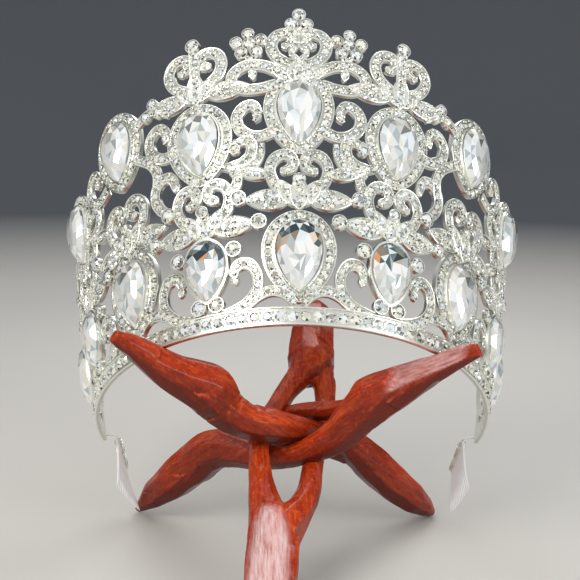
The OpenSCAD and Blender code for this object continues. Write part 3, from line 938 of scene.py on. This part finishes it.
PEAR_FACETS = 20
GIRDLE_H = 0.7
# How far above a stone's middle its dark starts, and the warm band under the dark, as
# shares of its length
DARK_FROM = 0.22
WARM_FROM = 0.07
for index, (column, height, small) in enumerate(pears):
    width, length = SMALL_PEAR_SIZE if small else PEAR_SIZE
    rise = width * PEAR_RISE
    middle, across, up, face = wall_frame(column, 0, height, PEAR_LIFT)
    # Each ring: share of the outline, level above the girdle, half a step of turn, count
    ring_rows = [(0.35, -2.4, 0, PEAR_FACETS), (1, 0, 0, PEAR_FACETS), (1, GIRDLE_H, 0, PEAR_FACETS),
                 (0.82, GIRDLE_H + rise * 0.6, 1, PEAR_FACETS),
                 (0.6, GIRDLE_H + rise * 0.93, 0, PEAR_FACETS // 2),
                 (0.3, GIRDLE_H + rise, 1, PEAR_FACETS // 4)]
    stone = bmesh.new()
    rings = []
    for share, level, half, count in ring_rows:
        ring = []
        for k in range(count):
            turn = (k + half * 0.5) * 2 * math.pi / count
            x, y = pear_point(turn, width * share, length * share, PEAR_FORM)
            ring.append(stone.verts.new(middle + (across * x + up * y + face * level) * MM))
        rings.append(ring)
    for low, high in zip(rings, rings[1:]):
        ratio = len(low) // len(high)
        for k in range(len(low)):
            m = (k + 1) % len(low)
            a, b = high[k // ratio % len(high)], high[m // ratio % len(high)]
            if len(low) == len(high) and low is not rings[0] and low is not rings[1]:
                stone.faces.new((low[k], low[m], a))
                stone.faces.new((low[m], b, a))
            elif a is b:
                stone.faces.new((low[k], low[m], a))
            elif ratio == 1:
                stone.faces.new((low[k], low[m], b, a))
            else:
                stone.faces.new((low[k], low[m], b))
                stone.faces.new((low[k], b, a))
    centre = stone.verts.new(middle + (face * (GIRDLE_H + 0.05 + rise) - up * length * 0.06) * MM)
    inner = rings[-1]
    for k in range(len(inner)):
        stone.faces.new((inner[k], inner[(k + 1) % len(inner)], centre))
    stone.faces.new(list(reversed(rings[0])))
    mesh = mesh_from(stone, f"pear_{index + 1}")
    layer = mesh.color_attributes.new("shade", "FLOAT_COLOR", "CORNER")
    low_row = height < 50 and abs(column) < 2
    for polygon in mesh.polygons:
        offset = (polygon.center - middle).dot(up) / MM / length
        palette = PEAR_WHITE
        if offset > DARK_FROM:
            palette = PEAR_TEAL if low_row else PEAR_GREY
        elif offset > WARM_FROM and low_row:
            palette = PEAR_WARM
        tint = draw.choice(palette)
        for corner in polygon.loop_indices:
            layer.data[corner].color = (*tint, 1)
    mesh.materials.append(crystal)
    pear = add_object(f"pear_{index + 1}", mesh)
    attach(pear, BODY)
    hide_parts(f"pear_stone_{index + 1}")


# Combs
# Clear moulded plastic, each with a row of tapered teeth under a round spine. Soft
# silver wire is wound along the spine and ties it to the end of the band.
COMB_L = 28
SPINE_R = 1.1
TOOTH_L = 22
TOOTH_PITCH = 2.2
TOOTH_COUNT = 13
# For each side, how far the first tooth's tip leans in, and how much further the last's
TIP_LEANS = {-1: (2, 7), 1: (0, 3.5)}
TOOTH_HALVES = [0.62, 0.55, 0.45, 0.2]
TOOTH_BOW = 0.9
COMB_INSET = 4
WIRE_R = 0.36
WIND_R = 1.5
WIND_STEPS = 8
clear, tree, shader = new_material("clear_plastic")
haze = noise(object_place(tree), 160, 3)
fill(shader, {
    "Base Color": tones(haze, [(0.3, (0.93, 0.94, 0.95)), (0.7, (1, 1, 1))]),
    "Roughness": haze * 0.2 + 0.05,
    "IOR": 1.49,
    "Coat Weight": 1,
})


def round_bar(points, halves):
    """A round bar along points, with its half thickness at each."""
    curve, spline = smooth_curve(points, halves=halves)
    curve.data.dimensions = "3D"
    curve.data.bevel_depth = 1
    curve.data.bevel_resolution = 2
    curve.data.use_fill_caps = True
    spline.resolution_u = 3
    bpy.ops.object.convert(target="MESH")
    return bpy.context.object


def seat_on_crown(parts, name, material):
    """Joins parts laid out in the crown's own frame, leans them back and rides them."""
    piece = join_parts(parts, name)
    lean = Matrix.Translation(CROWN_PLACE) @ LEAN_BACK.to_4x4()
    piece.data.transform(Matrix.Scale(MM, 4) @ lean)
    piece.data.materials.clear()
    piece.data.materials.append(material)
    bpy.ops.object.shade_smooth_by_angle(angle=math.radians(40))
    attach(piece, BODY)
    return piece


end_x = BASE_R * math.sin(END_ANGLE)
end_y = -BASE_R * math.cos(END_ANGLE)
for side, word in ((-1, "left"), (1, "right")):
    spine_x = side * (end_x - COMB_INSET)
    spine = [(spine_x, end_y, 0), (spine_x, end_y + 1.2, 0.1), (spine_x, end_y + COMB_L - 1.2, 0.1),
             (spine_x, end_y + COMB_L, 0)]
    moulded = [round_bar(spine, [0.5, SPINE_R, SPINE_R, 0.5])]
    near, further = TIP_LEANS[side]
    for k in range(TOOTH_COUNT):
        share = k / (TOOTH_COUNT - 1)
        y = end_y + 0.9 + k * TOOTH_PITCH
        bow = TOOTH_BOW * math.sin(math.pi * share)
        fan = -side * (near + further * share)
        tooth = [(spine_x, y, 0), (spine_x - side * 0.4 + fan * 0.3, y + 0.1, -TOOTH_L * 0.4),
                 (spine_x - side * 0.2 + fan * 0.7, y + 0.2, -TOOTH_L * 0.75 - bow * 0.5),
                 (spine_x + side * 0.5 + fan, y + 0.2, -TOOTH_L + 0.9 - bow)]
        moulded.append(round_bar(tooth, TOOTH_HALVES))
    comb = seat_on_crown(moulded, f"comb_{word}_moulded", clear)
    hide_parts(f"comb_{word}")
    wound = []
    for k in range((TOOTH_COUNT - 1) * WIND_STEPS + 1):
        turn = k * 2 * math.pi / WIND_STEPS
        y = end_y + 2 + k * TOOTH_PITCH / WIND_STEPS
        wound.append((spine_x + WIND_R * math.cos(turn), y, WIND_R * math.sin(turn)))
    # The end of the wire goes up from the spine, over the band's end and back down
    tie = [(spine_x, end_y + 1.1, -1.4), (spine_x + side * 0.3, end_y + 1.1, 1.8),
           (spine_x + side * COMB_INSET * 0.5, end_y + 1, 2.5), (side * (end_x - 0.5), end_y + 0.7, 2.4),
           (side * (end_x + 2.9), end_y + 0.6, 2.2), (side * (end_x + 2.6), end_y - 1.4, 2.2)]
    wires = [round_bar(path, [WIRE_R] * len(path)) for path in (wound, tie)]
    wire = seat_on_crown(wires, f"comb_wire_{word}", silver)
    # The wire takes the brightest tone of the relief, the painted highlight of the raised edges
    store(wire.data, "relief", [1] * len(wire.data.vertices))


# Legs of the stand
# Three lengths of red-stained hardwood. Each is split into two strands at its middle,
# the strands are threaded through one another, and all is knife-carved and varnished.
WOOD_VOXEL = 0.8
LEG_TRIANGLES = 26000
SMOOTH_ROUNDS = 4
KNIFE_CUTS = 60
KNIFE_TILT = 0.07
CUT_DEPTHS = (0.1, 0.35)
CUT_REACH = 11
CUT_FADE = 5
CUT_DEEPEST = 0.9
ARM_ACROSS = math.sin(math.radians(60))
# Each leg: its directions along and aside, and its two strands. Each row of a strand:
# along the leg from the middle, aside, height and half thickness, in millimetres
LEG_FORMS = {
    "stand_leg_right": ((-ARM_ACROSS, -0.5), (0.5, -ARM_ACROSS), [
        [(77.5, 1, 97.6, 2.4), (72, 1.5, 94.2, 4.2), (64, 2, 88.4, 5.8), (54, 2.5, 81.2, 7.4),
         (46, 2.5, 77, 8.9), (39.5, 2.5, 73.2, 10.2), (33, 4, 65.6, 8.2), (26, 6, 60.6, 7),
         (15, 7, 57.4, 6.6), (4, 6.5, 54.2, 5.5), (-9, 5, 51, 3.8), (-20, 2.5, 47, 4),
         (-31, 0.5, 38.6, 7), (-40, 0, 30.4, 8), (-50, 0, 21, 8), (-62, 0, 11.4, 6.8), (-70, 0, 5.4, 4.4),
         (-75, 0, 1.6, 1.8)],
        [(38, 0, 72, 8), (29, -5, 62, 5), (18, -8.5, 53, 4.2), (6, -9.5, 47, 4), (-7, -9.5, 43.5, 4),
         (-19, -7.5, 40.5, 5), (-31, -3, 37, 6.4), (-41, 0, 30, 7)],
    ]),
    "stand_leg_left": ((ARM_ACROSS, -0.5), (-0.5, -ARM_ACROSS), [
        [(76.5, 1, 93.8, 2.6), (70, 1.5, 90.8, 4), (62, 2, 86, 5), (54, 2, 81.2, 6.4), (44, 2.5, 75, 8.4),
         (36, 3, 69.8, 9.6), (29, 4.5, 61.6, 8.2), (21, 6.5, 52.8, 6.6), (10, 8, 46.2, 5),
         (0, 8, 42.2, 4.9), (-12, 6.5, 39.6, 5.2), (-24, 3.5, 39, 6.6), (-37, 1, 37, 8.8),
         (-48, 0, 28.4, 9), (-59, 0, 19, 8.4), (-69, 0, 10.6, 6.2), (-76, 0, 4.2, 3), (-79, 0, 1.6, 1.6)],
        [(40, 0, 73, 7.4), (29, -4, 65, 5), (18, -7, 60.5, 4.2), (6, -8.5, 58, 4), (-6, -9.5, 54.5, 4),
         (-18, -8.5, 49, 4.6), (-29, -4, 43, 6), (-39, 0, 36, 7.6)],
    ]),
    "stand_leg_front": ((0, 1), (1, 0), [
        [(78, 11, 86.4, 6.4), (70, 11, 83.8, 8.6), (58, 10, 79.6, 9.6), (46, 8.8, 74, 10),
         (36, 7.8, 69.6, 10.4), (29, 2.5, 65.8, 5.6), (21, -2.6, 61.6, 4.6), (12, -7, 57.2, 4.4),
         (3, -11.4, 52.8, 4.3), (-6, -13.8, 49, 4.3), (-15, -14, 45.2, 4.1), (-26, -13, 38.6, 4.6),
         (-36, -11.2, 32, 6.2), (-45, -8.4, 26.6, 9.4), (-57, -8.8, 18.4, 9.6), (-67, -9.8, 10.6, 8.8),
         (-74, -10.4, 4.8, 5.4)],
        [(38, 8, 70, 9), (30, 13.4, 64.4, 5), (22, 14, 58.4, 4.4), (12, 12.8, 51.4, 4.2), (3, 10, 45.8, 4),
         (-7, 8.2, 41, 4.1), (-16, 7, 38.8, 4.2), (-26, 5.4, 34.6, 4.6), (-35, 1.4, 30.6, 5.6),
         (-46, -6.4, 26, 8.8)],
    ]),
}
# Two broad flats with a painted pale sheen, a reflection of the light: where each starts and
# ends along the leg, how deep it is cut, how strong its sheen is, how wide its pale rim is and how it faces
SHEEN_FLATS = {
    "stand_leg_front": (-80, -33, 2.1, 0.8, 2.6, (-0.24, -0.62, 0.75)),
    "stand_leg_left": (43, 74, 2.8, 0.45, 0.5, (-0.555, -0.471, 0.7)),
}
FLAT_FADE = 4
WOOD_TONES = [(0.3, (0.13, 0.009, 0.003)), (0.5, (0.46, 0.038, 0.008)), (0.7, (0.8, 0.125, 0.018))]
GLINT_ORANGE = (0.95, 0.22, 0.05, 1)
RUBBED_AND_LIT_RED = (0.72, 0.17, 0.06, 1)
SHEEN_PALE = (0.82, 0.62, 0.62, 1)
UNDERSIDE_SHADE = (0.11, 0.012, 0.006, 1)
wood, tree, shader = new_material("red_wood")
grain_place = stored(tree, "grain", 1)
figure = noise(grain_place, 0.11, 3, Distortion=0.8)
streak = noise(grain_place, 0.9, 5, Roughness=0.65)
pores = noise(grain_place, 3.2, 2)
glint_fleck = noise(object_place(tree), 650, 2)
upward = along_axis(add_node(tree, "ShaderNodeTexCoord", output=1), 2)
wood_colour = tones(figure * 0.45 + streak * 0.55, WOOD_TONES)
# Sparse orange flecks are painted glints of the varnish
wood_colour = mix_colours(glint_fleck.clamped(4, -2.2) * 0.45, wood_colour, GLINT_ORANGE)
# Knife ridges are partly rubbed wood and partly a painted highlight
wood_colour = mix_colours(stored(tree, "ridge"), wood_colour, RUBBED_AND_LIT_RED)
# The broad flats get a painted pale sheen, a reflection of the light
wood_colour = mix_colours(stored(tree, "flat_sheen") * (streak * 2.6 - 0.5), wood_colour, SHEEN_PALE)
fill(shader, {
    # Painted shade: the less a face points up, the darker it is, most where it faces down
    "Base Color": mix_colours(upward.clamped(-0.85, 0.48), wood_colour, UNDERSIDE_SHADE),
    "Roughness": streak * 0.3 + 0.16,
    "Coat Weight": 0.4 - pores * 0.25,
    "Coat Roughness": 0.09,
    "Specular IOR Level": 0.12,
    "Normal": bump(streak * 0.6 + pores * 0.25 + glint_fleck * 0.3, 0.5, 0.0007),
})
strand_section = section_curve([(1, -0.45), (1, 0.3), (0.42, 0.95), (-0.34, 1), (-1, 0.5), (-1, -0.35),
                                (-0.5, -0.95), (0.45, -1)])


def read_normals(mesh):
    return np.array([v.normal[:] for v in mesh.vertices])


def knife_cut(points, normals):
    """Presses a random place of a leg flat, as a stroke of the knife leaves it."""
    index = knife.randrange(len(points))
    normal = normals[index] + np.array([knife.gauss(0, KNIFE_TILT) for _ in range(3)])
    normal /= np.linalg.norm(normal)
    level = points[index] - normal * knife.uniform(*CUT_DEPTHS)
    above = (points - level) @ normal
    fade = np.clip((CUT_REACH - np.linalg.norm(points - level, axis=1)) / CUT_FADE, 0, 1)
    near = (above > 0) & (above < CUT_DEEPEST)
    points[near] -= np.outer(above[near] * fade[near], normal)


def flat_share(reach, first, last):
    """How fully a worn flat is cut at each point, by its reach along the leg."""
    return np.clip((reach - first) / FLAT_FADE, 0, 1) * np.clip((last - reach) / FLAT_FADE, 0, 1)


def ridge_share(mesh, points):
    """How much the knife's ridges are rubbed and catch a painted highlight, from how far the points beside
    fall away.
    """
    normals = read_normals(mesh)
    edges = np.array([e.vertices[:] for e in mesh.edges])
    pull = np.zeros(len(points))
    count = np.zeros(len(points))
    for a, b in ((0, 1), (1, 0)):
        steps = points[edges[:, b]] - points[edges[:, a]]
        rise = np.einsum("ij,ij->i", steps, normals[edges[:, a]]) / np.linalg.norm(steps, axis=1).clip(1e-6)
        np.add.at(pull, edges[:, a], -rise)
        np.add.at(count, edges[:, a], 1)
    return np.clip((pull / count - 0.12) * 2.5, 0, 0.5)


knife = random.Random(23)
for name, (ahead, aside, strands) in LEG_FORMS.items():
    made = []
    for rows in strands:
        knots = [(ahead[0] * along + aside[0] * off, ahead[1] * along + aside[1] * off, height)
                 for along, off, height, half in rows]
        curve, spline = smooth_curve(knots, halves=[row[3] for row in rows])
        sweep(curve, strand_section)
        bpy.ops.object.convert(target="MESH")
        made.append(bpy.context.object)
    leg = join_parts(made, name + "_carved")
    leg.data.remesh_voxel_size = WOOD_VOXEL
    bpy.ops.object.voxel_remesh()
    smooth = leg.modifiers.new("smooth", "SMOOTH")
    smooth.iterations = SMOOTH_ROUNDS
    bpy.ops.object.modifier_apply(modifier=smooth.name)
    points = read_points(leg.data)
    normals = read_normals(leg.data)
    for k in range(KNIFE_CUTS):
        knife_cut(points, normals)
    if name in SHEEN_FLATS:
        first, last, depth, sheen, rim, level_way = SHEEN_FLATS[name]
        level_way = np.array(level_way) / np.linalg.norm(level_way)
        reach = points[:, :2] @ ahead
        level = (points[(reach > first) & (reach < last)] @ level_way).max() - depth
        fade = flat_share(reach, first, last)
        points -= np.outer((points @ level_way - level).clip(0) * fade, level_way)
    points[:, 2] = np.maximum(points[:, 2], 0)
    leg.data.vertices.foreach_set("co", points.ravel())
    thin = leg.modifiers.new("thin", "DECIMATE")
    thin.ratio = min(1, LEG_TRIANGLES / (2 * len(leg.data.polygons)))
    bpy.ops.object.modifier_apply(modifier=thin.name)
    bpy.ops.object.shade_smooth_by_angle(angle=math.radians(24))
    mesh = leg.data
    points = read_points(mesh)
    reach = points[:, :2] @ ahead
    # How strong the painted pale sheen is at each point of a broad flat
    flat_sheen = np.zeros(len(points))
    if name in SHEEN_FLATS:
        flat_sheen = sheen * np.clip(1.1 - (level - points @ level_way) / rim, 0, 1)
        flat_sheen *= flat_share(reach, first, last)
    store(mesh, "ridge", ridge_share(mesh, points))
    store(mesh, "flat_sheen", flat_sheen)
    along = reach + points[:, 2] * 0.6
    grain = np.stack([along * 0.12, points[:, :2] @ aside, points[:, 2] - along * 0.5], axis=1)
    mesh.attributes.new("grain", "FLOAT_VECTOR", "POINT").data.foreach_set("vector", grain.ravel())
    mesh.vertices.foreach_set("co", (points * MM).ravel())
    mesh.update()
    mesh.materials.clear()
    mesh.materials.append(wood)
    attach(leg, BODY)
    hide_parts(name)
bpy.data.objects.remove(strand_section)
